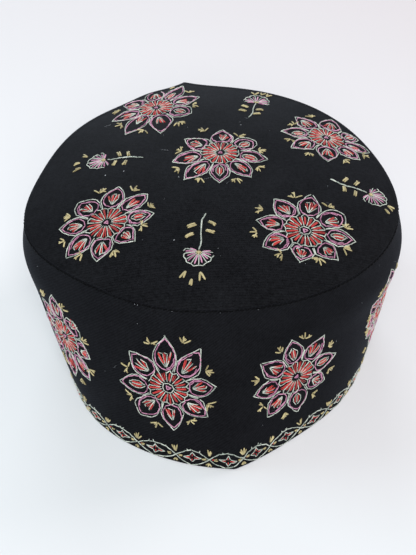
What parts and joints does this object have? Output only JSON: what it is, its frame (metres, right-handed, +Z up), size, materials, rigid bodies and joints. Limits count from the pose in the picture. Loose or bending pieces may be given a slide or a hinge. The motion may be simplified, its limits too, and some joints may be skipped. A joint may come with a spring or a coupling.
{
  "type": "embroidered cap",
  "caption": "Brimless round cloth cap with a softly domed crown seamed to a tall side band, worked with embroidered rosettes, sprigs and an interlaced border.",
  "frame": {"origin": "middle of the footprint, on the surface that the rim stands on", "axes": "+Z up out of the crown, -Y to the front of the cap, +X to its left as worn"},
  "size_m": [0.1878, 0.1956, 0.1022],
  "materials": {
    "crown_cloth": "matt black twill with thread embroidery",
    "side_band_cloth": "matt black twill with thread embroidery"
  },
  "bodies": {
    "root": {"crown": "crown_cloth", "side_band": "side_band_cloth"}
  },
  "joints": []
}
